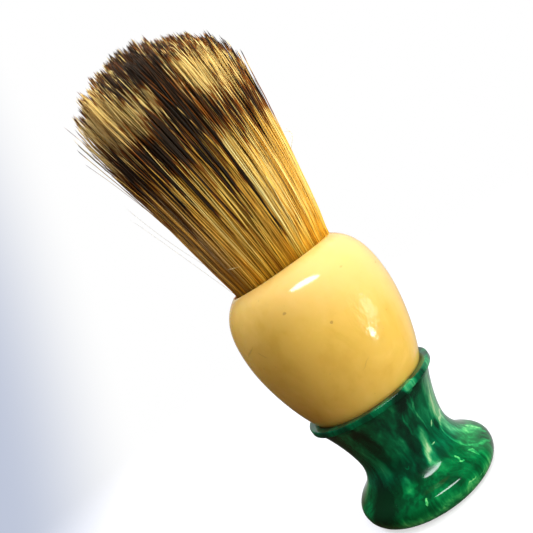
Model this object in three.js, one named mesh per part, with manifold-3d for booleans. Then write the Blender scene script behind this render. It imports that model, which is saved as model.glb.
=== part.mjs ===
// A shaving brush that stands on its foot: a hair knot set in a round resin bulb,
// which screws onto a lipped, waisted and flared resin base by a threaded brass stud.
// Millimetres, +Z up along the brush's axis, origin at the centre of the foot's underside.

import * as THREE from 'three';
import { mergeVertices } from 'three/addons/utils/BufferGeometryUtils.js';
import Module from 'manifold-3d';

const wasm = await Module();
wasm.setup();

// ---- driving dimensions ----
const HANDLE_HEIGHT = 56.5;      // foot to mouth of the bulb
const LOFT = 54.5;               // mouth to the top of the hairs
const GAP = 0.3;                 // between neighbouring pieces

const FOOT_RADIUS = 15.8;
const FOOT_FLAT_RADIUS = 13.3;   // the flat that the brush stands on
const FOOT_WIDEST_Z = 3.0;
const FOOT_SHOULDER = { r: 14.0, z: 5.5 };
const WAIST = { r: 10.3, z: 11.8 };
const LIP_RADIUS = 14.8;
const LIP_TOP_Z = 24.9;
const LIP_HEIGHT = 1.35;
const LIP_ROUND = 0.35;
const NECK = { r: 13.75, z: 23.0 };  // where the base meets the underside of its lip
const CUP_FLOOR_Z = 20.8;

const BULB_RADIUS = 17.5;
const BULB_WIDEST_Z = 43.3;
const BULB_NECK = { r: 13.25, z: 25.2 };  // where the bulb enters the lip
const BULB_FOOT_Z = 22.3;
const BULB_FOOT_RADIUS = 10.7;

const SOCKET_RADIUS = 11.9;
const SOCKET_FLOOR_Z = 41.0;
const MOUTH_EDGE = 0.3;          // width of the narrow land round the mouth

const STUD_RADIUS = 4.76;        // 3/8 inch, 16 threads to the inch
const STUD_PITCH = 1.5875;
const THREAD_DEPTH = 0.9;
const STUD_CHAMFER = 0.9;
const STUD_TOP_Z = 30.2;         // stands five pitches up into the bulb
const STUD_BOTTOM_Z = 10.0;
const BORE_RADIUS = STUD_RADIUS + GAP;

const BINDING_CORD = 1.1;        // diameter of the cord round the roots
const BINDING_TURNS = 4;
const BINDING_Z = 48.6;          // height of its lowest turn
const BINDING_RIDGE = Math.PI / 2.6;  // how far each turn's outer arc reaches up and down
const PLUG = { low: 42.6, high: 47.0, edge: 0.5 };
const CEMENT = { low: SOCKET_FLOOR_Z + GAP, high: PLUG.low - GAP, edge: 0.2 };

// The sides of the knot above the mouth, as [height, radius], up to the rim of its dome.
const KNOT_SIDES = [[0, 11.6], [8.3, 13.5], [21, 15.4], [33, 17.3], [42, 18.0], [47.5, 17.4]];
const DOME_SHOULDER = { r: 14.5, height: 52.0 };
const DOME_CROWN_RADIUS = 8.0;   // how far from the axis the top starts to fall away
const BEND_RADIUS = 15.7;        // the ball, centred on the mouth, that the head bends on

const AROUND = 48;               // sides of the large turned pieces
const AROUND_SMALL = 32;         // sides of the small and soft pieces

// ---- materials ----
const finish = (color, roughness, metalness = 0) =>
  new THREE.MeshStandardMaterial({ color, roughness, metalness });

const GREEN_RESIN = finish(0x0b6b38, 0.15);
const IVORY_RESIN = finish(0xe8c56a, 0.2);
const BRASS = finish(0xc9a24a, 0.35, 1);
const FIBRE = finish(0x6e2a1c, 0.8);
const HARD_RUBBER = finish(0x2a2320, 0.6);
const CORD = finish(0xcdbb93, 0.9);
const CEMENT_RESIN = finish(0x8a6a33, 0.5);
const BRISTLE = finish(0xb98f4c, 0.7);

// ---- helpers ----
// Turns a closed outline of Path curves in the (radius, height) half-plane into a solid.
function turned(path, divisions, around = AROUND) {
  const points = [];
  for (const point of path.getPoints(divisions)) {
    const radius = point.x < 1e-6 ? 0 : point.x;
    const next = new THREE.Vector2(radius, point.y);
    const last = points[points.length - 1];
    if (!last || last.distanceTo(next) > 1e-4) {
      points.push(next);
    }
  }
  // LatheGeometry turns about Y, so the solid is stood up along Z afterwards.
  return new THREE.LatheGeometry(points, around).rotateX(Math.PI / 2);
}

function toManifold(geometry) {
  const bare = geometry.clone();
  bare.deleteAttribute('normal');
  bare.deleteAttribute('uv');
  const merged = mergeVertices(bare, 1e-5);
  const vertProperties = new Float32Array(merged.attributes.position.array);
  const triVerts = new Uint32Array(merged.index.array);
  return new wasm.Manifold(new wasm.Mesh({ numProp: 3, vertProperties, triVerts }));
}

function toGeometry(solid) {
  const mesh = solid.getMesh();
  const geometry = new THREE.BufferGeometry();
  geometry.setAttribute('position', new THREE.BufferAttribute(mesh.vertProperties, 3));
  geometry.setIndex(new THREE.BufferAttribute(mesh.triVerts, 1));
  geometry.computeVertexNormals();
  return geometry;
}

function piece(name, geometry, material) {
  const mesh = new THREE.Mesh(geometry, material);
  mesh.name = name;
  return mesh;
}

// ---- the green base: foot, waist, lipped cup and the blind bore for the stud ----
function baseShell() {
  const lipBottom = LIP_TOP_Z - LIP_HEIGHT;
  const boreFloor = STUD_BOTTOM_Z - GAP;
  const outline = new THREE.Path();
  outline.moveTo(0, 0);
  outline.lineTo(FOOT_FLAT_RADIUS, 0);
  // rounded edge of the foot, then the shoulder and the hollow sweep up to the waist
  outline.bezierCurveTo(14.4, 0, FOOT_RADIUS, 1.2, FOOT_RADIUS, FOOT_WIDEST_Z);
  outline.bezierCurveTo(FOOT_RADIUS, 4.2, 15.0, 4.95, FOOT_SHOULDER.r, FOOT_SHOULDER.z);
  outline.bezierCurveTo(12.2, 6.8, WAIST.r, 8.6, WAIST.r, WAIST.z);
  outline.bezierCurveTo(WAIST.r, 14.6, 12.2, 20.2, NECK.r, NECK.z);
  // the lip: a small undercut, an upright band and a flat top
  outline.lineTo(NECK.r, lipBottom);
  outline.lineTo(LIP_RADIUS - LIP_ROUND / 2, lipBottom);
  outline.lineTo(LIP_RADIUS, lipBottom + LIP_ROUND / 2);
  outline.lineTo(LIP_RADIUS, LIP_TOP_Z - LIP_ROUND);
  outline.lineTo(LIP_RADIUS - LIP_ROUND, LIP_TOP_Z);
  outline.lineTo(BULB_NECK.r + GAP, LIP_TOP_Z);
  // the cup, which follows the bulb's foot, and the bore in its floor
  outline.lineTo(BULB_FOOT_RADIUS + GAP, BULB_FOOT_Z);
  outline.lineTo(BULB_FOOT_RADIUS + GAP, CUP_FLOOR_Z);
  outline.lineTo(BORE_RADIUS, CUP_FLOOR_Z);
  outline.lineTo(BORE_RADIUS, boreFloor);
  outline.lineTo(0, boreFloor);
  return piece('base_shell', turned(outline, 7), GREEN_RESIN);
}

// ---- the ivory bulb: a round body with the knot's socket above and a bore below ----
function bulbShell() {
  const boreTop = STUD_TOP_Z + GAP;
  const outline = new THREE.Path();
  outline.moveTo(0, boreTop);
  outline.lineTo(BORE_RADIUS, boreTop);
  outline.lineTo(BORE_RADIUS, BULB_FOOT_Z);
  outline.lineTo(BULB_FOOT_RADIUS, BULB_FOOT_Z);
  outline.lineTo(BULB_NECK.r, BULB_NECK.z);
  outline.bezierCurveTo(15.4, 29.2, BULB_RADIUS, 37.5, BULB_RADIUS, BULB_WIDEST_Z);
  outline.bezierCurveTo(BULB_RADIUS, 50.6, 15.6, 55.4, SOCKET_RADIUS + MOUTH_EDGE, HANDLE_HEIGHT);
  outline.lineTo(SOCKET_RADIUS, HANDLE_HEIGHT);
  outline.lineTo(SOCKET_RADIUS, SOCKET_FLOOR_Z);
  outline.lineTo(0, SOCKET_FLOOR_Z);
  return piece('bulb_shell', turned(outline, 10), IVORY_RESIN);
}

// ---- the threaded stud ----
// A single-start V thread: rows of the surface climb one pitch a turn, crest and root in turn.
function threadedRod(zLow, zHigh) {
  const sides = 24;
  const rowsPerPitch = 2;
  const rows = Math.ceil((zHigh - zLow) / STUD_PITCH + 2) * rowsPerPitch;
  const start = zLow - 1.5 * STUD_PITCH;
  const positions = [];
  for (let row = 0; row <= rows; row++) {
    const radius = row % rowsPerPitch === 0 ? STUD_RADIUS : STUD_RADIUS - THREAD_DEPTH;
    for (let side = 0; side < sides; side++) {
      const turn = side / sides;
      const z = start + (row / rowsPerPitch + turn) * STUD_PITCH;
      positions.push(radius * Math.cos(2 * Math.PI * turn), radius * Math.sin(2 * Math.PI * turn), z);
    }
  }
  // past the last side, a row carries on as the row one pitch higher
  const at = (row, side) => (side < sides ? row * sides + side : (row + rowsPerPitch) * sides);
  const index = [];
  const lastRow = rows - rowsPerPitch;
  for (let row = 0; row < lastRow; row++) {
    for (let side = 0; side < sides; side++) {
      index.push(at(row, side), at(row, side + 1), at(row + 1, side + 1));
      index.push(at(row, side), at(row + 1, side + 1), at(row + 1, side));
    }
  }
  const bottom = positions.length / 3;
  positions.push(0, 0, start);
  const top = bottom + 1;
  positions.push(0, 0, start + (lastRow / rowsPerPitch + 1) * STUD_PITCH);
  for (let side = 0; side < sides; side++) {
    index.push(bottom, at(0, side + 1), at(0, side));
    index.push(top, at(lastRow, side), at(lastRow, side + 1));
  }
  for (let step = 0; step < rowsPerPitch; step++) {
    index.push(bottom, at(step, 0), at(step + 1, 0));
    index.push(top, at(lastRow + step + 1, 0), at(lastRow + step, 0));
  }
  const geometry = new THREE.BufferGeometry();
  geometry.setAttribute('position', new THREE.Float32BufferAttribute(positions, 3));
  geometry.setIndex(index);
  return geometry;
}

// The rod cut to length, with a chamfer at each end.
function joiningStud() {
  const clear = STUD_RADIUS + GAP;
  const endRadius = STUD_RADIUS - STUD_CHAMFER;
  const slope = clear - endRadius;
  const envelope = new THREE.Path();
  envelope.moveTo(0, STUD_BOTTOM_Z);
  envelope.lineTo(endRadius, STUD_BOTTOM_Z);
  envelope.lineTo(clear, STUD_BOTTOM_Z + slope);
  envelope.lineTo(clear, STUD_TOP_Z - slope);
  envelope.lineTo(endRadius, STUD_TOP_Z);
  envelope.lineTo(0, STUD_TOP_Z);
  const rod = toManifold(threadedRod(STUD_BOTTOM_Z, STUD_TOP_Z));
  const ends = toManifold(turned(envelope, 1, AROUND));
  return piece('joining_stud', toGeometry(rod.intersect(ends)), BRASS);
}

// ---- the washer between the bulb and the floor of the cup ----
function sealRing() {
  const low = CUP_FLOOR_Z + GAP;
  const high = BULB_FOOT_Z - GAP;
  const inner = BORE_RADIUS + GAP;
  const outer = BULB_FOOT_RADIUS - GAP;
  const outline = new THREE.Path();
  outline.moveTo(inner, low);
  outline.lineTo(outer, low);
  outline.lineTo(outer, high);
  outline.lineTo(inner, high);
  outline.closePath();
  return piece('seal_ring', turned(outline, 1, AROUND_SMALL), FIBRE);
}

// ---- what holds the hair in the socket ----
function disc(name, { low, high, edge }, material) {
  const radius = SOCKET_RADIUS - GAP;
  const outline = new THREE.Path();
  outline.moveTo(0, low);
  outline.lineTo(radius - edge, low);
  outline.lineTo(radius, low + edge);
  outline.lineTo(radius, high - edge);
  outline.lineTo(radius - edge, high);
  outline.lineTo(0, high);
  return piece(name, turned(outline, 1, AROUND_SMALL), material);
}

// Turns of cord side by side, fused where they touch into one winding.
function knotBinding() {
  const cordRadius = BINDING_CORD / 2;
  const outer = SOCKET_RADIUS - GAP;
  const centre = outer - cordRadius;
  const bottom = BINDING_Z - cordRadius;
  const outline = new THREE.Path();
  outline.moveTo(centre - cordRadius, bottom);
  outline.lineTo(centre, bottom);
  for (let turn = 0; turn < BINDING_TURNS; turn++) {
    const z = BINDING_Z + turn * BINDING_CORD;
    outline.absarc(centre, z, cordRadius, -BINDING_RIDGE, BINDING_RIDGE, false);
  }
  const top = BINDING_Z + (BINDING_TURNS - 0.5) * BINDING_CORD;
  outline.lineTo(centre, top);
  outline.lineTo(centre - cordRadius, top);
  outline.closePath();
  return piece('knot_binding', turned(outline, 2, AROUND_SMALL), CORD);
}

// ---- the hair knot, split at a ball centred on the mouth so that the head can bend ----
// Radius of the knot's sides at a height above the mouth.
function knotRadius(height) {
  for (let i = 1; i < KNOT_SIDES.length; i++) {
    const [h0, r0] = KNOT_SIDES[i - 1];
    const [h1, r1] = KNOT_SIDES[i];
    if (height <= h1) {
      return r0 + (r1 - r0) * (height - h0) / (h1 - h0);
    }
  }
  return KNOT_SIDES[KNOT_SIDES.length - 1][1];
}

// Height above the mouth at which the sides cross a ball of the given radius.
function crossing(ball) {
  let low = 0;
  let high = ball;
  for (let i = 0; i < 40; i++) {
    const height = (low + high) / 2;
    if (Math.hypot(height, knotRadius(height)) < ball) {
      low = height;
    } else {
      high = height;
    }
  }
  return low;
}

function bristleRoot() {
  const inside = SOCKET_RADIUS - GAP;
  const necked = inside - BINDING_CORD - GAP;
  const bindingHigh = BINDING_Z + (BINDING_TURNS - 0.5) * BINDING_CORD + GAP;
  const rim = crossing(BEND_RADIUS);
  const outline = new THREE.Path();
  outline.moveTo(0, PLUG.high + GAP);
  outline.lineTo(necked, PLUG.high + GAP);
  outline.lineTo(necked, bindingHigh);
  outline.lineTo(inside, bindingHigh + BINDING_CORD);
  outline.lineTo(knotRadius(0), HANDLE_HEIGHT);
  outline.lineTo(knotRadius(rim), HANDLE_HEIGHT + rim);
  const rimAngle = Math.atan2(rim, knotRadius(rim));
  outline.absarc(0, HANDLE_HEIGHT, BEND_RADIUS, rimAngle, Math.PI / 2, false);
  return piece('bristle_root', turned(outline, 6, AROUND_SMALL), BRISTLE);
}

function bristleHead() {
  const ball = BEND_RADIUS + GAP;
  const rim = crossing(ball);
  const rimAngle = Math.atan2(rim, knotRadius(rim));
  const outline = new THREE.Path();
  outline.absarc(0, HANDLE_HEIGHT, ball, Math.PI / 2, rimAngle, true);
  for (const [height, radius] of KNOT_SIDES) {
    if (height > rim) {
      outline.lineTo(radius, HANDLE_HEIGHT + height);
    }
  }
  // the dome: level at the top, turned down to the rim
  const top = HANDLE_HEIGHT + LOFT;
  const shoulder = HANDLE_HEIGHT + DOME_SHOULDER.height;
  outline.bezierCurveTo(DOME_SHOULDER.r, shoulder, DOME_CROWN_RADIUS, top, 0, top);
  return piece('bristle_head', turned(outline, 7, AROUND_SMALL), BRISTLE);
}

// ---- assembly ----
const brush = new THREE.Group();
brush.add(
  baseShell(),
  joiningStud(),
  sealRing(),
  bulbShell(),
  disc('knot_cement', CEMENT, CEMENT_RESIN),
  disc('knot_plug', PLUG, HARD_RUBBER),
  knotBinding(),
  bristleRoot(),
  bristleHead(),
);

export default brush;
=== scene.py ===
"""A shaving brush: a banded bristle knot in an ivory resin bulb on a marbled green resin base.

Metres, +Z up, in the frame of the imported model. Shapes are drawn in millimetres and scaled by MM.
"""
import math
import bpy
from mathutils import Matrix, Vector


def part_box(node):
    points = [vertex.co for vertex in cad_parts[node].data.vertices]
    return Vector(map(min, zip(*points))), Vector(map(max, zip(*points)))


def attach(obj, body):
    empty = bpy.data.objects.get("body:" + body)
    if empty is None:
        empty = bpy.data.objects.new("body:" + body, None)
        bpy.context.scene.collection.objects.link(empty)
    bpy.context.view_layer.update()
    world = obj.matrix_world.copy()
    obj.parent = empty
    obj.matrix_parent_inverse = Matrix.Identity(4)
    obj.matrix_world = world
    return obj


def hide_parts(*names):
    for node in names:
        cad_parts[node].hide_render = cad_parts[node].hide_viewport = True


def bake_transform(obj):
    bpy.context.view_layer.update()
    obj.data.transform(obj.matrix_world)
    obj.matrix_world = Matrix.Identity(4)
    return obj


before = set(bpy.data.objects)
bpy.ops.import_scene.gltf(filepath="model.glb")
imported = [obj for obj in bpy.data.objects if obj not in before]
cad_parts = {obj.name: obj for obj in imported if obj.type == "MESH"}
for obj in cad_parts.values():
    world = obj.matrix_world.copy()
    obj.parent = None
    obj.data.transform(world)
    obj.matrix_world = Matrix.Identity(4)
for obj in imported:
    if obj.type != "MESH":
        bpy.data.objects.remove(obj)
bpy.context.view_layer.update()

from types import SimpleNamespace

import bpy
import numpy as np
from mathutils import Matrix, Quaternion, Vector, kdtree

MM = 0.001

# Heights and radii in millimetres, read from the frame.
BULB_BOX = [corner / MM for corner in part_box("bulb_shell")]
BASE_BOX = [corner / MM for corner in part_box("base_shell")]
MOUTH = BULB_BOX[1].z
BULB_RADIUS = BULB_BOX[1].x
FOOT_RADIUS = BASE_BOX[1].x
LIP_TOP = BASE_BOX[1].z
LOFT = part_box("bristle_head")[1].z / MM - MOUTH

GOLDEN_ANGLE = math.pi * (3 - math.sqrt(5))


# ---------------------------------------------------------------- node trees

class Tree:
    """A short way to write a node tree: call add() for a node, and give inputs by name."""

    def __init__(self, tree):
        self.tree = tree
        tree.nodes.clear()

    def add(self, kind, settings=None, **inputs):
        node = self.tree.nodes.new("ShaderNode" + kind)
        for name, value in (settings or {}).items():
            setattr(node, name, value)
        for name, value in inputs.items():
            self.put(node.inputs[name.replace("_", " ")], value)
        return node

    def put(self, socket, value):
        if isinstance(value, bpy.types.NodeSocket):
            self.tree.links.new(value, socket)
        elif isinstance(value, bpy.types.Node):
            self.tree.links.new(value.outputs[0], socket)
        else:
            socket.default_value = value

    def math(self, operation, *values, clamp=False):
        node = self.add("Math", {"operation": operation, "use_clamp": clamp})
        for socket, value in zip(node.inputs, values):
            self.put(socket, value)
        return node.outputs[0]

    def vector(self, operation, *values):
        node = self.add("VectorMath", {"operation": operation})
        for socket, value in zip(node.inputs, values):
            self.put(socket, value)
        return node.outputs[0]

    def mix(self, factor, a, b):
        node = self.add("Mix", {"data_type": "RGBA"})
        self.put(node.inputs["Factor"], factor)
        self.put(node.inputs["A"], a)
        self.put(node.inputs["B"], b)
        return node.outputs["Result"]

    def ramp(self, factor, stops, smooth=True):
        node = self.add("ValToRGB")
        node.color_ramp.interpolation = "EASE" if smooth else "LINEAR"
        elements = node.color_ramp.elements
        while len(elements) < len(stops):
            elements.new(0.5)
        for element, (place, colour) in zip(elements, stops):
            element.position = place
            element.color = (*colour, 1)
        self.put(node.inputs["Fac"], factor)
        return node.outputs["Color"]

    def step(self, value, low, high):
        """0 below low, 1 above high, smooth between them."""
        node = self.add("MapRange", {"interpolation_type": "SMOOTHSTEP"})
        for name, given in (("Value", value), ("From Min", low), ("From Max", high)):
            self.put(node.inputs[name], given)
        return node.outputs["Result"]

    def noise(self, vector, scale, detail=3.0, roughness=0.5, distortion=0.0):
        return self.add("TexNoise", Vector=vector, Scale=scale, Detail=detail,
                        Roughness=roughness, Distortion=distortion)


def material(name):
    """A new material with a Principled shader; returns it, its tree and the shader."""
    made = bpy.data.materials.new(name)
    made.use_nodes = True
    tree = Tree(made.node_tree)
    shader = tree.add("BsdfPrincipled")
    output = tree.add("OutputMaterial")
    tree.put(output.inputs["Surface"], shader)
    return made, tree, shader


def bump(tree, shader, height, strength, distance_mm):
    node = tree.add("Bump", Height=height, Strength=strength, Distance=distance_mm * MM)
    tree.put(shader.inputs["Normal"], node)


def millimetres(tree):
    """The point on the piece, in millimetres in the model's frame."""
    place = tree.add("TexCoord").outputs["Object"]
    return tree.vector("MULTIPLY", place, (1 / MM, 1 / MM, 1 / MM))


def round_the_piece(tree, place, radius):
    """The point unrolled: X is the way round from the front (-Y) at this radius, Y the height."""
    x, y, z = tree.add("SeparateXYZ", Vector=place).outputs
    angle = tree.math("ARCTAN2", x, tree.math("MULTIPLY", y, -1.0))
    return tree.add("CombineXYZ", X=tree.math("MULTIPLY", angle, radius), Y=z).outputs[0]


def wander(tree, place, unrolled, size, reach):
    """The unrolled point pushed about by noise, so that figures drawn on it get ragged edges."""
    push = tree.noise(tree.vector("MULTIPLY", place, (1 / size, 1 / size, 0.5 / size)), 1.0, 2.0)
    push = tree.vector("SUBTRACT", push.outputs["Color"], (0.5, 0.5, 0.5))
    return tree.vector("ADD", unrolled, tree.vector("MULTIPLY", push, (reach, reach * 1.5, 0)))


def figure(tree, unrolled, angle, height, half_width, half_height, lean, radius):
    """An oval that goes from 1 at its middle to 0 at its edge, leaning to the right by lean."""
    oval = tree.add("Mapping", {"vector_type": "TEXTURE"}, Vector=unrolled)
    oval.inputs["Location"].default_value = (math.radians(angle) * radius, height, 0)
    oval.inputs["Rotation"].default_value = (0, 0, -math.radians(lean))
    oval.inputs["Scale"].default_value = (half_width, half_height, 1)
    gradient = tree.add("TexGradient", {"gradient_type": "SPHERICAL"}, Vector=oval.outputs[0])
    return gradient.outputs["Fac"]


# ---------------------------------------------------------------- camera, light and floor

CAMERA_DISTANCE = 142.0        # mm from the mouth of the bulb
CAMERA_ELEVATION = 4.0         # degrees above it
CAMERA_ROLL = 35.2             # degrees: the brush leans to the left in the picture
CAMERA_PAN = 1.18              # degrees to the left of the mouth
CAMERA_TILT = 0.05             # degrees below it
CAMERA_LENS = 46.06            # mm
CAMERA_SENSOR = 36.0


def make_camera():
    data = bpy.data.cameras.new("camera")
    data.lens = CAMERA_LENS
    data.sensor_width = CAMERA_SENSOR
    data.clip_start = 0.005
    data.clip_end = 50.0
    camera = bpy.data.objects.new("camera", data)
    elevation = math.radians(CAMERA_ELEVATION)
    away = Vector((0, -math.cos(elevation), math.sin(elevation))) * CAMERA_DISTANCE
    place = Vector((0, 0, MOUTH)) + away
    turn = Matrix.Rotation(math.radians(90 - CAMERA_ELEVATION), 4, "X")
    turn @= Matrix.Rotation(math.radians(-CAMERA_ROLL), 4, "Z")
    turn @= Matrix.Rotation(math.radians(CAMERA_PAN), 4, "Y")
    turn @= Matrix.Rotation(math.radians(-CAMERA_TILT), 4, "X")
    camera.matrix_world = Matrix.Translation(place * MM) @ turn
    bpy.context.scene.collection.objects.link(camera)
    bpy.context.scene.camera = camera


def area_light(name, azimuth, elevation, distance, size, power, colour, at=(0, 0, 50), roll=0):
    """An oval light facing the point at, in mm; azimuth is from the front (-Y) towards +X."""
    data = bpy.data.lights.new(name, "AREA")
    data.shape = "ELLIPSE"
    data.size, data.size_y = size
    data.energy = power
    data.color = colour
    light = bpy.data.objects.new(name, data)
    a, e = math.radians(azimuth), math.radians(elevation)
    back = Vector((math.sin(a) * math.cos(e), -math.cos(a) * math.cos(e), math.sin(e)))
    light.location = Vector(at) * MM + back * distance
    light.rotation_mode = "QUATERNION"
    spin = Quaternion((0, 0, 1), math.radians(roll))
    light.rotation_quaternion = (-back).to_track_quat("-Z", "Y") @ spin
    light.visible_camera = False
    bpy.context.scene.collection.objects.link(light)
    return light


def make_lights(bulb):
    """A window high in front, soft light round it, and two small lights for glints on the bulb."""
    area_light("window", azimuth=17, elevation=46, distance=0.35, size=(0.250, 0.072),
               power=0.72, colour=(0.93, 0.97, 1.0), roll=-18)
    lamp = area_light("lamp", azimuth=54, elevation=-31, distance=0.06, size=(0.012, 0.008),
                      power=0.0075, colour=(1.0, 0.95, 0.8), at=(7, -15.8, 38))
    card = area_light("card", azimuth=67, elevation=-16, distance=0.08, size=(0.034, 0.026),
                      power=0.0095, colour=(1.0, 0.96, 0.85), at=(9, -14.8, 42))
    sky = area_light("sky", azimuth=-130, elevation=45, distance=0.6, size=(0.3, 0.3),
                     power=4.5, colour=(0.78, 0.82, 1.0))
    key = area_light("key", azimuth=76, elevation=52, distance=0.8, size=(0.7, 0.7),
                     power=9.2, colour=(1.0, 1.0, 1.0))
    fill = area_light("fill", azimuth=35, elevation=4, distance=0.6, size=(0.4, 0.3),
                      power=1.9, colour=(1.0, 0.90, 0.66))
    for soft in (sky, key, fill):
        soft.visible_glossy = False
    glinting = bpy.data.collections.new("glinting")
    glinting.objects.link(bulb)
    for small in (lamp, card):
        small.light_linking.receiver_collection = glinting


WHITE = (1, 1, 1, 1)
BACKDROP = Vector((0.45, 0.85, 0.1))     # the middle of the white backdrop, seen from the brush
BACKDROP_LIGHT = 0.52
ROOM_LIGHT = 0.035                       # strength of the rest of the room in reflections
ROOM_FILL = 0.16                         # and what it adds on matt surfaces
TABLE_LIGHT = 0.06                       # and what comes from below
WARM_SIDE = (1.0, 0.52, 0.30, 1)         # the light's colour from the left
SHADED_SIDE = (0.52, 0.57, 0.70, 1)      # the backdrop's colour on the left, as the camera sees it


def make_world():
    """White behind the brush and dim in front of it, so that dark resin stays dark."""
    world = bpy.data.worlds.new("studio")
    bpy.context.scene.world = world
    world.use_nodes = True
    tree = Tree(world.node_tree)
    direction = tree.add("TexCoord").outputs["Generated"]
    x, _, z = tree.add("SeparateXYZ", Vector=direction).outputs
    path = tree.add("LightPath")
    seen = path.outputs["Is Camera Ray"]

    facing = tree.add("VectorMath", {"operation": "DOT_PRODUCT"})
    tree.put(facing.inputs[0], direction)
    facing.inputs[1].default_value = BACKDROP.normalized()
    bright = tree.step(facing.outputs["Value"], 0.5, 0.8)
    light = tree.math("MULTIPLY_ADD", path.outputs["Is Diffuse Ray"], ROOM_FILL, ROOM_LIGHT)
    light = tree.math("MULTIPLY_ADD", tree.step(z, -0.35, -0.95), TABLE_LIGHT, light)
    light = tree.math("MULTIPLY_ADD", bright, BACKDROP_LIGHT, light)
    warm = tree.mix(tree.step(x, -0.15, -0.6), WHITE, WARM_SIDE)

    across = tree.math("MULTIPLY_ADD", z, -0.31, tree.math("MULTIPLY", x, 0.95))
    shade = tree.mix(tree.step(across, -0.42, -0.24), SHADED_SIDE, WHITE)

    strength = tree.add("Mix", {"data_type": "FLOAT"})
    tree.put(strength.inputs["Factor"], seen)
    tree.put(strength.inputs["A"], light)
    tree.put(strength.inputs["B"], 1.0)
    colour = tree.mix(seen, warm, shade)
    background = tree.add("Background", Color=colour, Strength=strength.outputs[0])
    tree.put(tree.add("OutputWorld").inputs["Surface"], background)


FLOOR_HALF = 0.4
FLOOR_DROP = 0.1               # mm that it lies below the foot
FLOOR_FADE = (0.06, 0.30)      # the floor fades into the white round it between these radii
FLOOR_WEIGHT = 0.35            # and is mostly clear, so that its shadow is light
FLOOR_SEEN = (0.93, 0.93, 0.94, 1)
FLOOR_LIGHT = (0.25, 0.20, 0.12, 1)      # its colour where it lights the brush


def make_floor():
    mesh = bpy.data.meshes.new("floor")
    corners = [(-FLOOR_HALF, -FLOOR_HALF, 0), (FLOOR_HALF, -FLOOR_HALF, 0),
               (FLOOR_HALF, FLOOR_HALF, 0), (-FLOOR_HALF, FLOOR_HALF, 0)]
    mesh.from_pydata(corners, [], [(0, 1, 2, 3)])
    floor = bpy.data.objects.new("floor", mesh)
    floor.location.z = -FLOOR_DROP * MM
    floor.visible_glossy = False
    bpy.context.scene.collection.objects.link(floor)
    paper, tree, shader = material("pale_floor")
    seen = tree.add("LightPath").outputs["Is Camera Ray"]
    tree.put(shader.inputs["Base Color"], tree.mix(seen, FLOOR_LIGHT, FLOOR_SEEN))
    shader.inputs["Roughness"].default_value = 0.9
    shader.inputs["Specular IOR Level"].default_value = 0.1
    away = tree.add("VectorMath", {"operation": "LENGTH"})
    tree.put(away.inputs[0], tree.add("TexCoord").outputs["Object"])
    fade = tree.step(away.outputs["Value"], *FLOOR_FADE)
    tree.put(shader.inputs["Alpha"], tree.math("MULTIPLY_ADD", fade, -FLOOR_WEIGHT, FLOOR_WEIGHT))
    mesh.materials.append(paper)


# ---------------------------------------------------------------- turned shapes

def curve(start, lead, follow, end, steps=14):
    """Points of a cubic Bezier curve in the (radius, height) plane, without its first."""
    t = np.linspace(0, 1, steps + 1)[1:, None]
    a, b, c, d = (np.array(p, float) for p in (start, lead, follow, end))
    points = (1 - t) ** 3 * a + 3 * (1 - t) ** 2 * t * b + 3 * (1 - t) * t * t * c + t ** 3 * d
    return [tuple(p) for p in points]


SIDES = 192
SHARP_ANGLE = 50.0             # degrees; sharper edges than this aren't smoothed


def turned(name, outline):
    """Turns an outline of (radius, height) in mm, given up its outside, into a smooth piece."""
    vertices, rings = [], []
    angles = [2 * math.pi * i / SIDES for i in range(SIDES)]
    for radius, height in outline:
        if radius < 1e-6:
            rings.append([len(vertices)] * SIDES)
            vertices.append((0, 0, height * MM))
        else:
            rings.append(range(len(vertices), len(vertices) + SIDES))
            vertices += [(radius * math.cos(a) * MM, radius * math.sin(a) * MM, height * MM)
                         for a in angles]
    faces = []
    for low, high in zip(rings, rings[1:]):
        for i in range(SIDES):
            j = (i + 1) % SIDES
            corners = [low[i], low[j], high[j], high[i]]
            faces.append(list(dict.fromkeys(corners)))
    mesh = bpy.data.meshes.new(name)
    mesh.from_pydata(vertices, [], faces)
    mesh.shade_smooth()
    mesh.set_sharp_from_angle(angle=math.radians(SHARP_ANGLE))
    piece = bpy.data.objects.new(name, mesh)
    bpy.context.scene.collection.objects.link(piece)
    return piece


# Points of the profiles are (radius, height).
BASE_NECK = (13.75, 23.0)
LIP_BOTTOM = LIP_TOP - 1.35
LIP_RADIUS = 14.8
LIP_ROUND = 0.3
LIP_INSIDE = 13.04
BULB_NECK = (13.0, 24.88)
BULB_FOOT = (10.7, 22.3)
CUP_CLEARANCE = 0.1            # between the bulb's foot and the cup that it stands in
CUP_FLOOR = 20.8
STUD_BORE = 5.06
BASE_BORE_END = 9.7
BULB_BORE_END = 30.5
SOCKET = 11.9
SOCKET_FLOOR = 41.0
MOUTH_ROUND = 0.2


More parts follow.
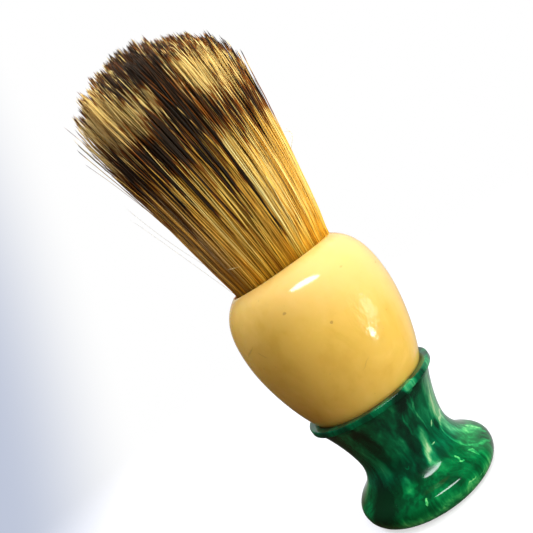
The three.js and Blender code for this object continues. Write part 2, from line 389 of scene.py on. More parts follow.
def make_base():
    flat = (13.3, 0)
    widest = (FOOT_RADIUS, 3.0)
    shoulder = (14.0, 5.5)
    waist = (10.3, 11.8)
    cup = BULB_FOOT[0] + CUP_CLEARANCE
    outline = [(0, 0), flat]
    outline += curve(flat, (14.4, 0), (FOOT_RADIUS, 1.2), widest)
    outline += curve(widest, (FOOT_RADIUS, 4.2), (15.0, 4.86), shoulder, 20)
    outline += curve(shoulder, (12.35, 6.56), (waist[0], 8.5), waist, 24)
    outline += curve(waist, (waist[0], 14.6), (12.2, 20.2), BASE_NECK, 20)
    outline += [(BASE_NECK[0] + 0.05, LIP_BOTTOM), (LIP_RADIUS - 0.25, LIP_BOTTOM)]
    outline += curve((LIP_RADIUS - 0.25, LIP_BOTTOM), (LIP_RADIUS - 0.1, LIP_BOTTOM),
                     (LIP_RADIUS, LIP_BOTTOM + 0.1), (LIP_RADIUS, LIP_BOTTOM + 0.25), 4)
    outline += [(LIP_RADIUS, LIP_TOP - LIP_ROUND)]
    outline += curve((LIP_RADIUS, LIP_TOP - LIP_ROUND), (LIP_RADIUS, LIP_TOP - LIP_ROUND / 2),
                     (LIP_RADIUS - LIP_ROUND / 2, LIP_TOP), (LIP_RADIUS - LIP_ROUND, LIP_TOP), 4)
    outline += [(LIP_INSIDE, LIP_TOP), (cup, BULB_FOOT[1]), (cup, CUP_FLOOR),
                (STUD_BORE, CUP_FLOOR), (STUD_BORE, BASE_BORE_END), (0, BASE_BORE_END)]
    base = turned("green_base", outline)
    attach(base, "base")
    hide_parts("base_shell")
    base.data.materials.append(green_resin())


def make_bulb():
    widest = (BULB_RADIUS, 43.3)
    mouth = (SOCKET + MOUTH_ROUND, MOUTH)
    outline = [(0, BULB_BORE_END), (STUD_BORE, BULB_BORE_END), (STUD_BORE, BULB_FOOT[1]),
               BULB_FOOT, BULB_NECK]
    outline += curve(BULB_NECK, (15.4, 29.2), (BULB_RADIUS, 37.5), widest, 24)
    outline += curve(widest, (BULB_RADIUS, 50.2), (16.1, 54.0), mouth, 24)
    outline += curve(mouth, (SOCKET + 0.08, MOUTH),
                     (SOCKET, MOUTH - 0.08), (SOCKET, MOUTH - 0.3), 4)
    outline += [(SOCKET, SOCKET_FLOOR), (0, SOCKET_FLOOR)]
    bulb = turned("ivory_bulb", outline)
    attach(bulb, "bulb")
    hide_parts("bulb_shell")
    bulb.data.materials.append(ivory_resin())
    return bulb


# ---------------------------------------------------------------- resin materials

IVORY_RADIUS = 17.0

# Marks on the ivory: azimuth in degrees from the front, height, half width and half height in mm,
# lean in degrees, and strength.
IVORY_PITS = [
    (-15.5, 49.9, 0.45, 0.34, 0, 0.5), (5.6, 43.8, 0.38, 0.34, 0, 0.5),
    (112, 47, 0.4, 0.4, 0, 0.6), (-128, 38, 0.35, 0.45, 0, 0.6)]
IVORY_SCRATCHES = [
    (-58, 46.6, 0.22, 2.6, 68, 0.30), (-47, 45.2, 0.18, 1.4, -40, 0.25),
    (9, 33.5, 0.14, 1.8, 60, 0.22), (34, 50.8, 0.5, 0.25, 10, 0.28),
    (66, 46.8, 0.7, 0.25, 5, 0.30), (150, 42, 0.2, 3.0, 50, 0.25)]
GLINT_WEAR = (28, 41, 4.0, 6.0)     # where the hand has worn a rippled patch into the polish

IVORY = [(0.45, (0.63, 0.405, 0.074)), (0.66, (0.68, 0.450, 0.092)), (0.88, (0.73, 0.490, 0.115))]
# painted light: the paler colour of the lit upper right
PAINTED_LIGHT_IVORY = (0.70, 0.49, 0.18, 1)
# worn, and painted shade: the colour at the rim of the mouth
WORN_AND_SHADED_IVORY = (0.60, 0.35, 0.08, 1)
IVORY_NEAR_FOOT = (0.50, 0.27, 0.05, 1)
MARKED_IVORY = (0.22, 0.14, 0.05, 1)


def ivory_resin():
    """Aged cast resin: cream to butterscotch in soft clouds, with painted light paler to the upper
    right, warmer at the worn mouth with painted shade along it, and with marks.
    """
    made, tree, shader = material("ivory_resin")
    place = millimetres(tree)
    unrolled = round_the_piece(tree, place, IVORY_RADIUS)
    loose = wander(tree, place, unrolled, 1.2, 0.5)
    cloud = tree.noise(tree.vector("MULTIPLY", place, (0.10, 0.10, 0.08)), 1.0, 4.0, 0.6, 0.8)
    mottle = tree.noise(tree.vector("MULTIPLY", place, (0.45, 0.45, 0.35)), 1.0, 3.0)
    mottle = mottle.outputs["Fac"]
    level = tree.math("MULTIPLY_ADD", mottle, 0.35, cloud.outputs["Fac"])
    colour = tree.ramp(level, IVORY)
    x, _, height = tree.add("SeparateXYZ", Vector=place).outputs
    # painted light: paler towards the upper right, where the light falls
    upper_right = tree.math("MULTIPLY_ADD", x, 0.6, tree.math("SUBTRACT", height, 43.0))
    painted_light = tree.step(tree.math("MULTIPLY_ADD", mottle, 3.0, upper_right), 0.0, 16.0)
    colour = tree.mix(tree.math("MULTIPLY", painted_light, 0.9), colour, PAINTED_LIGHT_IVORY)
    # the rim of the mouth: worn, and painted shade along it
    uneven_height = tree.math("MULTIPLY_ADD", mottle, 1.6, height)
    edge = tree.step(uneven_height, MOUTH - 0.9, MOUTH + 0.7)
    colour = tree.mix(tree.math("MULTIPLY", edge, 0.7), colour, WORN_AND_SHADED_IVORY)
    # darker towards the bottom of the bulb
    towards_foot = tree.step(height, 28.0, 24.6)
    colour = tree.mix(tree.math("MULTIPLY", towards_foot, 0.15), colour, IVORY_NEAR_FOOT)
    marks = 0.0
    for *where, strength in IVORY_PITS + IVORY_SCRATCHES:
        mark = figure(tree, loose, *where, IVORY_RADIUS)
        mark = tree.math("MULTIPLY", mark, 2.0, clamp=True)
        marks = tree.math("MULTIPLY_ADD", mark, strength, marks)
    speck = tree.noise(tree.vector("MULTIPLY", place, (1.3, 1.3, 1.3)), 1.0, 1.0).outputs["Fac"]
    marks = tree.math("MULTIPLY_ADD", tree.step(speck, 0.76, 0.82), 0.25, marks)
    colour = tree.mix(tree.math("MINIMUM", marks, 0.8), colour, MARKED_IVORY)
    tree.put(shader.inputs["Base Color"], colour)
    shader.inputs["IOR"].default_value = 1.6
    shader.inputs["Subsurface Weight"].default_value = 0.25
    shader.inputs["Subsurface Radius"].default_value = (1.0, 0.45, 0.12)
    shader.inputs["Subsurface Scale"].default_value = 3.0 * MM
    swell = tree.noise(tree.vector("MULTIPLY", place, (0.12, 0.12, 0.12)), 1.0, 2.0).outputs["Fac"]
    ripple = tree.noise(tree.vector("MULTIPLY", place, (0.9, 0.9, 0.6)), 1.0, 1.5).outputs["Fac"]
    worn = figure(tree, unrolled, *GLINT_WEAR, 0, IVORY_RADIUS)
    worn = tree.math("MULTIPLY", worn, 2.0, clamp=True)
    tree.put(shader.inputs["Roughness"], tree.math("MULTIPLY_ADD", worn, 0.10, 0.12))
    relief = tree.math("MULTIPLY", ripple, tree.math("MULTIPLY_ADD", worn, 1.0, 0.01))
    relief = tree.math("ADD", relief, tree.math("MULTIPLY", swell, 0.35))
    relief = tree.math("MULTIPLY_ADD", marks, -0.25, relief)
    bump(tree, shader, relief, 0.35, 0.4)
    return made


MARBLE_RADIUS = 12.0

# The larger figures in the marbling, and some painted light where marked: azimuth in degrees
# from the front, height, half width and half height in mm, lean in degrees, how much lighter or
# darker, and how sharp the edge is.
MARBLE_AND_LIGHT_FIGURES = [
    (6, 15.0, 1.9, 6.5, 0, -0.28, 2),        # the dark column in front
    (15, 22.5, 1.9, 3.6, 0, -0.28, 2),
    (-31, 18, 2.2, 7.0, -5, -0.32, 2),
    (-50, 6, 4.2, 5.5, 20, -0.30, 2),
    (-12, 15.5, 2.6, 5.0, -10, 0.14, 2),     # emerald clouds
    (-21, 7.2, 2.2, 1.7, 0, 0.24, 2),
    (33, 18, 2.0, 6.0, 5, 0.08, 2),
    (45, 12.4, 1.2, 1.6, 0, -0.30, 2),
    (25, 8.5, 3.0, 2.2, 0, -0.10, 2),
    (60, 9.0, 2.6, 3.4, 10, 0.16, 1.5),
    # painted bounce light: lighter along the underside of the foot, which faces down
    (10, 0.8, 12.0, 2.8, 0, 0.26, 2),
    (34, 2.0, 6.0, 2.0, 0, 0.18, 2),
    (8, 5.7, 4.6, 1.5, 0, -0.13, 1.5),
    # painted bounce light under the foot, on its left
    (-42, 1.4, 6.0, 1.8, 0, 0.26, 2),
    # painted sheen: lighter down the right of the waist
    (62, 17, 4.2, 9.5, 0, 0.54, 1.8),
    (75, 6.2, 3.0, 2.2, 0, 0.28, 1.5),       # the pale patch on the foot's shoulder
    (28, 24.2, 2.0, 1.6, 0, 0.42, 3),        # and on the lip
    (62, 24.2, 2.2, 1.2, 0, 0.14, 2),
    (17.0, 12.2, 1.7, 4.4, 24, 0.38, 1.8),   # the pearl feather down the waist
    (13.5, 9.8, 2.4, 2.6, 24, 0.30, 2.2),
    (0, 8.8, 1.8, 2.0, 0, -0.24, 2),         # dark beside it
    (28, 17.5, 0.3, 5.2, -8, 0.22, 3),       # fine streaks beside it
    (12, 18, 0.3, 3.0, 4, 0.18, 3),
    (23, 20.5, 0.25, 3.0, -14, 0.18, 3),
    (38, 13.6, 0.8, 0.28, -20, 0.45, 3),     # flecks
    (26, 11.1, 0.8, 0.25, 0, 0.50, 3),
    (-14, 10.3, 0.6, 0.22, 20, 0.22, 3),
    (31, 6.2, 0.60, 0.33, 0, 0.42, 4),
    (45, 5.1, 0.50, 0.75, -10, 0.42, 4),
    # painted glint: a bright dot on the foot
    (-12, 4.7, 0.3, 0.35, 30, 0.60, 4),
    (24, 2.5, 0.9, 0.18, 0, 0.40, 3),
    (35, 2.4, 0.8, 0.16, 0, 0.35, 3),
]
DULLED = (5, 8.05, 4.0, 0.80)  # azimuth, height and half sizes of a dulled spot on the foot
SWIRL = (66, 8.6, 4.6, 5.6)    # and of the round swirl on the foot

MARBLE = [
    (0.00, (0.003, 0.019, 0.010)), (0.20, (0.002, 0.045, 0.020)), (0.40, (0.001, 0.115, 0.045)),
    (0.58, (0.008, 0.205, 0.080)), (0.72, (0.045, 0.320, 0.130)), (0.88, (0.15, 0.45, 0.20)),
    (1.00, (0.33, 0.55, 0.31))]
FOOT_TINT = (0.60, 1.03, 0.68, 1)        # the foot is greener than the cup


def green_resin():
    """Marbled cast resin: black-green to emerald in drawn-out swirls, with pearly streaks, and
    painted
    light: a sheen down the waist, bounce light under the foot and a glint on it.
    """
    made, tree, shader = material("green_resin")
    place = millimetres(tree)
    unrolled = round_the_piece(tree, place, MARBLE_RADIUS)
    loose = wander(tree, place, unrolled, 2.5, 2.2)
    loose = wander(tree, place, loose, 0.6, 0.45)
    warp = tree.noise(tree.vector("MULTIPLY", place, (0.11, 0.11, 0.05)), 1.0, 3.0)
    warp = tree.vector("SUBTRACT", warp.outputs["Color"], (0.5, 0.5, 0.5))
    drawn = tree.vector("ADD", tree.vector("MULTIPLY", place, (0.22, 0.22, 0.075)),
                        tree.vector("MULTIPLY", warp, (1.6, 1.6, 1.6)))
    cloud = tree.noise(drawn, 1.0, 5.0, 0.6).outputs["Fac"]
    streak = tree.noise(tree.vector("MULTIPLY", drawn, (5.0, 5.0, 1.6)), 1.0, 3.0).outputs["Fac"]
    level = tree.math("MULTIPLY_ADD", tree.math("SUBTRACT", cloud, 0.5), 1.2, 0.30)
    for angle, height, half_width, half_height, lean, gain, edge in MARBLE_AND_LIGHT_FIGURES:
        oval = figure(tree, loose, angle, height, half_width, half_height, lean, MARBLE_RADIUS)
        oval = tree.math("MULTIPLY", oval, float(edge), clamp=True)
        level = tree.math("MULTIPLY_ADD", oval, gain, level)
    inside = figure(tree, loose, *SWIRL, 0, MARBLE_RADIUS)
    ring = tree.math("SUBTRACT", tree.step(inside, 0.05, 0.12), tree.step(inside, 0.14, 0.26))
    level = tree.math("MULTIPLY_ADD", ring, 0.26, level)
    level = tree.math("MULTIPLY", level, tree.math("MULTIPLY_ADD", streak, 1.3, 0.35))
    colour = tree.ramp(level, MARBLE, smooth=False)
    height = tree.add("SeparateXYZ", Vector=place).outputs["Z"]
    tint = tree.mix(tree.step(height, 9.5, 6.5), WHITE, FOOT_TINT)
    tree.put(shader.inputs["Base Color"], tree.vector("MULTIPLY", colour, tint))
    shader.inputs["IOR"].default_value = 1.47
    swell = tree.noise(tree.vector("MULTIPLY", place, (0.15, 0.15, 0.15)), 1.0, 2.0).outputs["Fac"]
    ripple = tree.noise(tree.vector("MULTIPLY", place, (1.3, 1.3, 1.0)), 1.0, 3.0).outputs["Fac"]
    dulled = figure(tree, unrolled, *DULLED, 0, MARBLE_RADIUS)
    tree.put(shader.inputs["Roughness"], tree.math("MULTIPLY_ADD", dulled, 0.22, 0.08))
    relief = tree.math("MULTIPLY_ADD", swell, 0.3, tree.math("MULTIPLY", ripple, 0.01))
    bump(tree, shader, relief, 0.35, 0.4)
    return made


def plain(name, colours, scale, roughness, metallic):
    """A mottled material for the pieces inside."""
    made, tree, shader = material(name)
    place = tree.add("TexCoord").outputs["Object"]
    grain = tree.noise(place, scale, 4.0)
    tree.put(shader.inputs["Base Color"], tree.ramp(grain.outputs["Fac"], [
        (0.3, colours[0]), (0.7, colours[1])]))
    shader.inputs["Roughness"].default_value = roughness
    shader.inputs["Metallic"].default_value = metallic
    bump(tree, shader, grain.outputs["Fac"], 0.2, 0.1)
    return made


# The pieces inside: name, two colours, scale of the grain, roughness and metallic.
INSIDE = {
    "joining_stud": ("turned_brass", [(0.62, 0.42, 0.14), (0.80, 0.58, 0.24)], 600, 0.3, 1.0),
    "seal_ring": ("pressed_fibre", [(0.20, 0.05, 0.03), (0.33, 0.10, 0.06)], 900, 0.8, 0.0),
    "knot_cement": ("set_cement", [(0.30, 0.18, 0.06), (0.45, 0.30, 0.12)], 500, 0.5, 0.0),
    "knot_plug": ("hard_rubber", [(0.02, 0.018, 0.016), (0.05, 0.045, 0.04)], 700, 0.6, 0.0),
    "knot_binding": ("waxed_cord", [(0.45, 0.35, 0.20), (0.70, 0.60, 0.40)], 1500, 0.7, 0.0),
}


def dress_inside():
    for node, (name, colours, scale, roughness, metallic) in INSIDE.items():
        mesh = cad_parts[node].data
        mesh.materials.clear()
        mesh.materials.append(plain(name, colours, scale, roughness, metallic))


# ---------------------------------------------------------------- bristles

SEED = 11
HAIRS = 8192
TUFTS = 430                    # groups whose tips draw together into points
LOCKS = 2000                   # smaller groups that share a shade
ROOT_DEPTH = 2.5               # mm that the hairs reach down into the socket
ROOT_RADIUS = 11.25
SPREAD = 6.55                  # mm that the knot's radius grows by, over SPREAD_HEIGHT
SPREAD_HEIGHT = 42.0           # mm above the mouth
FULL_HEIGHT = 50.0             # mm above the mouth, where the twist and scatter have their size
TWIST = 12.0                   # degrees that the knot turns to the left
SHIFT = (0.58, 0.85, -1.75)    # mm that it stands to the right, and what height adds to that
HAIR_RADIUS = 0.115
TAPER = 0.25                   # how much thinner a hair gets
ALONG = np.array([0, 0.09, 0.2, 0.34, 0.48, 0.62, 0.76, 0.88, 0.98, 1])    # places of the rings
TEXTURE_ACROSS = 256           # hairs side by side in a baked texture

# The dark band round the knot: azimuth at the root, the heights it starts and stops at in mm above
# the mouth, and how strong it is. Where it stops above the tips, it runs on to them.
BAND = [
    (-180, 24, 36, 0.80), (-130, 26, 35, 0.80), (-95, 24, 34, 0.60), (-72, 24, 33, 0.50),
    (-58, 25, 36, 0.85), (-45, 25, 37, 0.95), (-25, 25, 36, 1.00), (-8, 23.8, 37, 1.00),
    (2, 24.3, 39, 1.00), (6, 26, 47, 1.00), (9, 27.5, 60, 0.80), (14, 27, 60, 0.80),
    (17, 26.5, 54, 0.80), (20, 24.5, 42, 0.85), (24, 24.8, 37, 0.80), (28, 25, 35, 0.50),
    (33, 25, 34, 0.75), (38, 24, 34, 0.95), (43, 27, 34, 0.55), (50, 27, 33, 0.50),
    (60, 26, 34, 0.65), (80, 27, 36, 0.75), (120, 24, 36, 0.80), (180, 24, 36, 0.80)]

# Dark wedges that run down from the band: azimuth at the root, the height of the point, and half
# the width at the top in degrees.
WEDGES = [
    (16.5, 9, 2.6), (11.5, 17, 1.6), (7, 15, 1.7), (1.5, 13, 2.4), (-4, 18, 1.5), (-9, 14, 2.2),
    (-18, 17, 1.8), (-27, 18, 2.0), (-36.5, 11, 2.0), (-48, 17, 1.7), (-62, 13, 1.7), (35, 21, 1.7),
    (52, 22, 1.7), (100, 15, 1.7), (140, 12, 1.7), (-110, 16, 1.7), (-150, 14, 1.7)]

SHADES = {                     # tone of a hair, and its colour
    0.0: (0.15, 0.060, 0.010), 0.3: (0.43, 0.205, 0.026), 0.6: (0.80, 0.440, 0.060),
    0.85: (0.94, 0.610, 0.125), 1.0: (0.95, 0.720, 0.240)}
# greyer hairs at the left, partly grey and partly painted shade
GREY_AND_SHADE = np.array([0.46, 0.34, 0.20])
OLIVE = np.array([0.20, 0.02, -0.40])    # what an olive hair loses of each colour

# How much lighter the hairs are in some stretches: azimuths, softness of the edges, and tone.
# The first three are painted light: lighter on the lit right of the knot, darker in shade on its
# left.
TONES_AND_LIGHT = [(20, 90, 10, 0.20), (-110, -40, 15, -0.12), (58, 110, 15, 0.12), (-20, 20, 6, -0.05),
         (14, 34, 8, 0.10)]


def knot_radius(height):
    """Radius of the knot at a height above the mouth, in mm."""
    rise = np.clip(height, 0, SPREAD_HEIGHT) / SPREAD_HEIGHT
    return ROOT_RADIUS + SPREAD * rise ** 0.75


def crown(x, y):
    """Length of the hair that ends at (x, y): a dome, cut lower at both sides."""
    slant = np.where(x < 0, 0.14 * np.minimum(x + 7, 0), -0.19 * x)
    return LOFT - 0.2 - 0.022 * (x * x + y * y) + slant


def sunflower(count, radius, rng, jitter, power=0.5):
    """Points spread over a disc; a power below 0.5 draws them towards its edge."""
    k = np.arange(count)
    r = radius * ((k + 0.5) / count) ** power
    a = k * GOLDEN_ANGLE
    return np.stack([r * np.cos(a), r * np.sin(a)], 1) + rng.normal(0, jitter, (count, 2))


def nearest(points, centres):
    """The index of the centre nearest to each point."""
    tree = kdtree.KDTree(len(centres))
    for i, (x, y) in enumerate(centres):
        tree.insert((x, y, 0), i)
    tree.balance()
    return np.array([tree.find((x, y, 0))[1] for x, y in points])


def around(angle, low, high, soft):
    """1 for azimuths from low to high degrees, falling to 0 over soft degrees outside."""
    return np.clip((angle - low) / soft + 1, 0, 1) * np.clip((high - angle) / soft + 1, 0, 1)


def azimuth(points):
    """Degrees from the front (-Y) towards +X."""
    return np.degrees(np.arctan2(points[:, 0], -points[:, 1]))


def plant_hairs(rng):
    """Where each hair stands, its lock and tuft, and whether it is loose or wild."""
    root = sunflower(HAIRS, ROOT_RADIUS, rng, 0.06, 0.46)
    reach = np.linalg.norm(root, axis=1)
    root *= np.minimum(1, ROOT_RADIUS / reach)[:, None]
    locks = sunflower(LOCKS, ROOT_RADIUS, rng, 0.08)
    tufts = sunflower(TUFTS, ROOT_RADIUS, rng, 0.18)
    lock = nearest(root, locks)
    tuft = nearest(locks, tufts)[lock]
    angle = azimuth(root)
    outer = reach > 0.94 * ROOT_RADIUS
    loose = outer & (rng.random(HAIRS) < 0.06)
    left, right = around(angle, -115, -62, 12), around(angle, 68, 105, 12)
    wild = outer & (rng.random(HAIRS) < 0.01 + 0.12 * left + 0.01 * right)
    return SimpleNamespace(
        root=root, lock=lock, tuft=tuft, middle=tufts[tuft], angle=angle,
        lock_angle=azimuth(locks)[lock], outer=outer, loose=loose, left=left, wild=wild)


def trim_hairs(rng, hairs):
    """The hairs' lengths above the mouth, and which of them are cut short."""
    size = knot_radius(FULL_HEIGHT) / ROOT_RADIUS
    ends = hairs.middle * size
    off_axis = np.linalg.norm(hairs.root - hairs.middle, axis=1) * size
    length = crown(ends[:, 0], ends[:, 1]) + rng.normal(0, 0.6, TUFTS)[hairs.tuft]
    length += rng.normal(0, 0.15, HAIRS) - rng.exponential(0.35, HAIRS) - 0.9 * off_axis
    side = np.clip((np.abs(hairs.root[:, 0]) / ROOT_RADIUS - 0.70) / 0.2, 0, 1)
    cut = (rng.random(HAIRS) < 0.85 * side) | (hairs.loose & (rng.random(HAIRS) < 0.5))
    length -= cut * rng.uniform(2, 13, HAIRS)
    return length, cut


def shape_hairs(rng, hairs, length, cut):
    """The hairs' centre lines (HAIRS, rings, 3) in mm, and how far they swing aside in degrees."""
    height = -ROOT_DEPTH + ALONG[None] * (length + ROOT_DEPTH)[:, None]
    up = np.clip(height / FULL_HEIGHT, 0, 1.2)
    fan = knot_radius(height) / ROOT_RADIUS
    close = rng.uniform(0.65, 0.97, TUFTS)[hairs.tuft][:, None] * up ** 3.0
    inwards = (hairs.middle - hairs.root)[:, None] * close[..., None]
    centre = (hairs.root[:, None] + inwards) * fan[..., None]
    centre += rng.normal(0, 0.55, (TUFTS, 1, 2))[hairs.tuft] * up[..., None] ** 1.6
    centre += rng.normal(0, 0.16, (LOCKS, 1, 2))[hairs.lock] * up[..., None]
    stray = (up * (1 - 0.6 * close))[..., None]
    centre += rng.normal(0, 0.24, (HAIRS, 1, 2)) * stray
    centre += rng.normal(0, 0.07, (HAIRS, len(ALONG), 2)) * stray

    loose = hairs.loose[:, None]
    turn = TWIST * up ** 1.5 + loose * rng.uniform(-4, 15, HAIRS)[:, None] * up
    swing = hairs.outer * rng.normal(0, 2.6, HAIRS)
    turn += swing[:, None] * np.sin(math.pi * np.clip(up, 0, 1))
    turn = np.radians(-turn)
    lift = 1 + loose * rng.uniform(0.01, 0.05, HAIRS)[:, None] * up
    fly = hairs.wild * rng.uniform(0.03, 0.30, HAIRS) * np.where(hairs.angle < 0, 1, 0.5)
    lift += fly[:, None] * up ** 3.0
    lift += (cut * rng.uniform(-0.02, 0.07, HAIRS) * (1 + hairs.left))[:, None] * up ** 2
    x = (centre[..., 0] * np.cos(turn) - centre[..., 1] * np.sin(turn)) * lift
    y = (centre[..., 0] * np.sin(turn) + centre[..., 1] * np.cos(turn)) * lift
    x += SHIFT[0] + SHIFT[1] * up + SHIFT[2] * up ** 2
    return np.stack([x, y, MOUTH + height], 2), swing


def darken_hairs(rng, hairs, length, swing):
    """Where each hair's band starts and stops, where its dark tip starts, how dark it is, and
    whether it is a pale hair."""
    angle, lock = hairs.angle, hairs.lock
    lock_angle = hairs.lock_angle - 0.9 * swing
    where, low, high, strength = (np.array(column, float) for column in zip(*BAND))
    low = np.interp(lock_angle, where, low) + rng.normal(0, 1.5, LOCKS)[lock]
    low += 1.2 + 1.6 * around(lock_angle, -60, 30, 8)
    high = np.interp(lock_angle, where, high) + rng.normal(0, 1.7, LOCKS)[lock]
    strength = np.interp(lock_angle, where, strength) + rng.normal(0, 0.12, LOCKS)[lock]
    for point, bottom, half_width in WEDGES:
        inside = np.clip(1.2 * (1 - np.abs(angle - 0.8 * swing - point) / half_width), 0, 1)
        low -= inside * np.clip(low - bottom, 0, None)
        strength += 0.45 * inside
    low -= rng.exponential(1.3, LOCKS)[lock] + rng.exponential(0.8, HAIRS)
    high += rng.normal(0, 1.2, HAIRS)
    strength += rng.normal(0, 0.22, HAIRS)
    pale = rng.random(HAIRS) < 0.04 + 0.03 * around(lock_angle, 0, 24, 4)
    pale = pale | (hairs.loose & (rng.random(HAIRS) < 0.85)) | hairs.wild
    strength *= 1 - 0.85 * pale

    depth = rng.uniform(1.8, 4.6, TUFTS)[hairs.tuft] * (1 - 0.65 * around(angle, -80, -20, 8))
    depth += rng.uniform(0, 2.6, HAIRS) * around(angle, -12, 22, 8)
    depth *= 1 - 0.35 * around(angle, 26, 80, 6)
    tip = length - depth + rng.normal(0, 0.8, HAIRS)
    untipped = rng.random(HAIRS) < 0.08 + 0.2 * around(angle, -60, -25, 8)
    tip += 20 * untipped
    return low, high, tip, strength, pale


def colour_hairs(rng, hairs, pale):
    """The tone of each hair from 0 to 1, and its colour, with painted light on the right of the
    knot and painted shade on its left.
    """
    angle = hairs.angle
    calm = 1 - 0.4 * around(angle, 8, 60, 10)
    tone = 0.57 + 0.11 * rng.normal(0, 1, LOCKS)[hairs.lock] + calm * rng.normal(0, 0.20, HAIRS)
    tone += 0.12 * pale
    # painted light on the right of the knot and painted shade on its left come in here
    for low, high, soft, gain in TONES_AND_LIGHT:
        tone += gain * around(angle, low, high, soft)
    tone = np.clip(tone, 0, 1)
    shade = [np.interp(tone, list(SHADES), channel) for channel in zip(*SHADES.values())]
    shade = np.stack(shade, 1)
    # greyer at the left: partly grey hairs, partly painted shade
    grey_and_shade = 0.75 * around(angle, -120, -45, 12)[:, None] * rng.random((HAIRS, 1))
    shade += grey_and_shade * (GREY_AND_SHADE - shade)
    olive = around(angle, -18, 22, 8)[:, None] * rng.random((HAIRS, 1))
    shade *= 1 - olive * OLIVE
    return tone, shade


def grow():
    """The hairs' centre lines and radii in mm, and their values for the bristle material."""
    rng = np.random.default_rng(SEED)
    hairs = plant_hairs(rng)
    length, cut = trim_hairs(rng, hairs)
    path, swing = shape_hairs(rng, hairs, length, cut)
    low, high, tip, strength, pale = darken_hairs(rng, hairs, length, swing)
    tone, shade = colour_hairs(rng, hairs, pale)
    peppered = rng.random(HAIRS) < 0.35 * around(hairs.angle, -115, -50, 8)
    tip -= peppered * rng.uniform(1, 6, HAIRS)
    values = {
        "band": np.stack([low, high, tip], 1),
        "dark": np.stack([np.clip(strength, 0, 1), rng.random(HAIRS), tone], 1),
        "shade": shade,
    }
    radius = HAIR_RADIUS * rng.uniform(0.75, 1.25, HAIRS) * np.where(hairs.wild, 0.5, 1)
    return path, radius, values


# Single hairs out of place: the radius, and four points of a curve as azimuth, distance from the
# axis and height above the mouth.
ASTRAY = [
    (0.12, [(-46, 12.35, 5.9), (-40, 13.1, 5.9), (-34, 13.2, 5.4), (-29, 12.6, 5.1)]),
    (0.05, [(-45, 12.4, 5.6), (-41, 12.9, 5.6), (-38, 13.0, 5.5), (-34, 12.6, 5.35)]),
    (0.08, [(84, 15.6, 18.5), (86, 17.6, 20.5), (92, 18.6, 21.6), (96, 16.6, 22.4)]),
    (0.07, [(80, 15.8, 20.0), (84, 18.8, 20.6), (92, 17.0, 22.0), (98, 17.8, 22.8)]),
    (0.03, [(-96, 11.0, -0.5), (-94, 14.6, 10), (-92, 17.4, 19), (-90, 20.0, 26)]),
    (0.03, [(-84, 12.6, 9.0), (-88, 15.8, 16), (-92, 18.0, 23), (-94, 19.6, 29)]),
]


def grow_astray():
    """The single hairs, in the form that grow() gives; they are pale all along."""
    paths = []
    for _, points in ASTRAY:
        bent = np.array([(d * math.sin(math.radians(a)), -d * math.cos(math.radians(a)), MOUTH + h)
                         for a, d, h in points])
        steps = curve(*bent, steps=len(ALONG) - 1)
        paths.append([tuple(bent[0])] + steps)
    count = len(paths)
    values = {
        "band": np.tile([90.0, 91.0, 92.0], (count, 1)),
        "dark": np.tile([0.0, 0.5, 1.0], (count, 1)),
        "shade": np.tile([0.97, 0.88, 0.62], (count, 1)),
    }
    return np.array(paths), np.array([radius for radius, _ in ASTRAY]), values


def tube(rings):
    """Faces of one three-sided hair, and the way round and the ring of each of their corners."""
    faces = [(2, 1, 0)]
    columns = [(0.5, 0.5, 0.5)]
    rows = [(0, 0, 0)]
    for r in range(rings - 2):
        for c in range(3):
            d = (c + 1) % 3
            faces.append((3 * r + c, 3 * r + d, 3 * r + 3 + d, 3 * r + 3 + c))
            columns.append((c / 3, (c + 1) / 3, (c + 1) / 3, c / 3))
            rows.append((r, r, r + 1, r + 1))
    last = 3 * (rings - 2)
    for c in range(3):
        faces.append((last + c, last + (c + 1) % 3, last + 3))
        columns.append((c / 3, (c + 1) / 3, (c + 0.5) / 3))
        rows.append((rings - 2, rings - 2, rings - 1))
    return faces, np.concatenate(columns), np.concatenate(rows)


def lay_out(mesh, count, columns, rows):
    """Gives each hair its own narrow column of the texture, so that its bands survive a bake."""
    down = math.ceil(count / TEXTURE_ACROSS)
    index = np.arange(count)
    u = ((index % TEXTURE_ACROSS)[:, None] + 0.2 + 0.6 * columns[None]) / TEXTURE_ACROSS
    v = ((index // TEXTURE_ACROSS)[:, None] + 0.03 + 0.94 * ALONG[rows][None]) / down
    layer = mesh.uv_layers.new(name="OFBake")
    layer.data.foreach_set("uv", np.stack([u, v], 2).astype(np.float32).ravel())


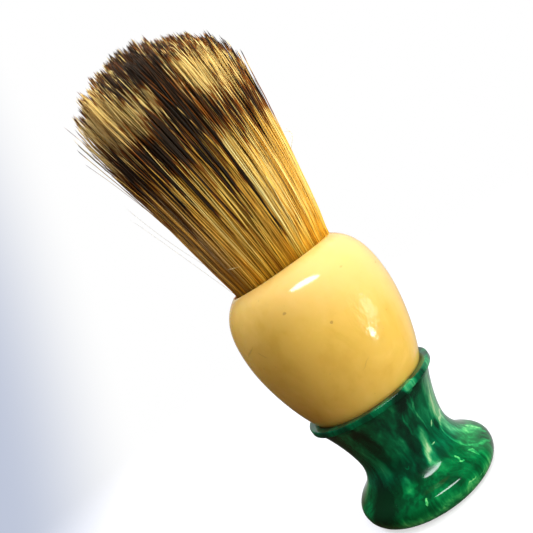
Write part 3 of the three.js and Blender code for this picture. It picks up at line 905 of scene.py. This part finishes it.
def hair_mesh(name, path, radius, values):
    """Three-sided tapering tubes along the paths, as one mesh with the hairs' values on it."""
    count, rings, _ = path.shape
    width = radius[:, None] * (1 - TAPER * ALONG[None] ** 2)
    spin = np.random.default_rng(count).uniform(0, 2 * math.pi, count)
    corner = spin[:, None] + np.arange(3)[None] * (2 * math.pi / 3)
    ring = np.stack([np.cos(corner), np.sin(corner), np.zeros_like(corner)], 2)
    body = path[:, :-1, None] + ring[:, None] * width[:, :-1, None, None]
    vertices = np.concatenate([body.reshape(count, -1, 3), path[:, -1:]], 1) * MM
    per_hair = vertices.shape[1]

    faces, columns, rows = tube(rings)
    sizes = np.array([len(face) for face in faces])
    loops = (np.concatenate(faces)[None] + per_hair * np.arange(count)[:, None]).ravel()
    starts = np.concatenate([[0], np.cumsum(np.tile(sizes, count))[:-1]])
    mesh = bpy.data.meshes.new(name)
    mesh.vertices.add(count * per_hair)
    mesh.vertices.foreach_set("co", vertices.astype(np.float32).ravel())
    mesh.loops.add(len(loops))
    mesh.loops.foreach_set("vertex_index", loops.astype(np.int32))
    mesh.polygons.add(len(starts))
    mesh.polygons.foreach_set("loop_start", starts.astype(np.int32))
    mesh.polygons.foreach_set("use_smooth", np.ones(len(starts), bool))
    lay_out(mesh, count, columns, rows)
    mesh.update(calc_edges=True)
    store(mesh, "height", "FLOAT", vertices[..., 2] / MM - MOUTH)
    for key, value in values.items():
        store(mesh, key, "FLOAT_VECTOR", np.repeat(value[:, None], per_hair, 1))
    piece = bpy.data.objects.new(name, mesh)
    bpy.context.scene.collection.objects.link(piece)
    return piece


def store(mesh, name, kind, values):
    attribute = mesh.attributes.new(name, kind, "POINT")
    key = "value" if kind == "FLOAT" else "vector"
    attribute.data.foreach_set(key, values.astype(np.float32).ravel())


CREAM = (0.88, 0.71, 0.30, 1)
STAIN = (0.90, 0.72, 0.22)               # what the roots keep of each colour
BROWNS = (0.09, 0.024, 0.005, 1), (0.32, 0.100, 0.012, 1)
# the second, more neutral black, given to hairs at random, is partly painted sheen on black hair
BLACKS_AND_SHEEN = (0.036, 0.020, 0.010, 1), (0.034, 0.029, 0.024, 1)


def bristle():
    """Hog bristle: honey at the root, then a dark band, cream, and a dark tip."""
    made, tree, shader = material("bristle")
    height = tree.add("Attribute", {"attribute_name": "height"}).outputs["Fac"]
    band = tree.add("Attribute", {"attribute_name": "band"}).outputs["Vector"]
    dark = tree.add("Attribute", {"attribute_name": "dark"}).outputs["Vector"]
    shade = tree.add("Attribute", {"attribute_name": "shade"}).outputs["Vector"]
    low, high, tip = tree.add("SeparateXYZ", Vector=band).outputs
    strength, chance, tone = tree.add("SeparateXYZ", Vector=dark).outputs
    entering = tree.step(tree.math("SUBTRACT", height, low), -2.2, 3.2)
    leaving = tree.step(tree.math("SUBTRACT", height, high), -3.0, 2.4)
    along = tree.add("CombineXYZ", X=tree.math("MULTIPLY", chance, 90.0),
                     Y=tree.math("MULTIPLY", height, 0.11))
    fleck = tree.noise(along, 1.0, 2.0).outputs["Fac"]
    strength = tree.math("ADD", strength, tree.math("MULTIPLY_ADD", fleck, 2.2, -1.1))
    middle = tree.math("MULTIPLY", tree.math("SUBTRACT", entering, leaving), strength, clamp=True)
    end = tree.step(tree.math("SUBTRACT", height, tip), -1.4, 1.4)
    end = tree.math("MULTIPLY", end, tree.math("MULTIPLY_ADD", fleck, 1.2, 0.25), clamp=True)
    ink = tree.math("MAXIMUM", middle, end)
    uneven = tree.math("MULTIPLY_ADD", fleck, 1.1, 0.45)
    uneven = tree.add("CombineXYZ", X=uneven, Y=uneven, Z=uneven)
    upper = tree.step(height, 27.0, 37.0)
    cream = tree.mix(0.62, shade, CREAM)
    light = tree.vector("MULTIPLY", tree.mix(upper, shade, cream), uneven)
    stained = tree.vector("MULTIPLY", light, STAIN)
    light = tree.mix(tree.step(height, 11.0, -1.0), light, stained)
    brown = tree.mix(tone, *BROWNS)
    warm = tree.mix(tree.step(ink, 0.03, 0.38), light, brown)
    black = tree.mix(chance, *BLACKS_AND_SHEEN)
    colour = tree.mix(tree.step(ink, 0.45, 0.90), warm, black)
    tree.put(shader.inputs["Base Color"], colour)
    shader.inputs["Roughness"].default_value = 0.5
    shader.inputs["Specular IOR Level"].default_value = 0.2
    return made


LAYERS = ["bristles_core", "bristles_inner", "bristles_middle", "bristles_outer"]


def dress_hairs(piece, finish):
    """Gives hairs their material and bakes their placement into their mesh."""
    piece.data.materials.append(finish)
    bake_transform(piece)


def make_bristles():
    """The knot in layers from its core outwards, and the single hairs out of place."""
    path, radius, values = grow()
    finish = bristle()
    for name, part in zip(LAYERS, np.array_split(np.arange(HAIRS), len(LAYERS))):
        own = {key: value[part] for key, value in values.items()}
        layer = hair_mesh(name, path[part], radius[part], own)
        dress_hairs(layer, finish)
    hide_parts("bristle_root", "bristle_head")
    dress_hairs(hair_mesh("bristles_astray", *grow_astray()), finish)


make_camera()
make_world()
make_floor()
make_base()
make_lights(make_bulb())
dress_inside()
make_bristles()

bpy.context.scene.view_settings.view_transform = "Standard"
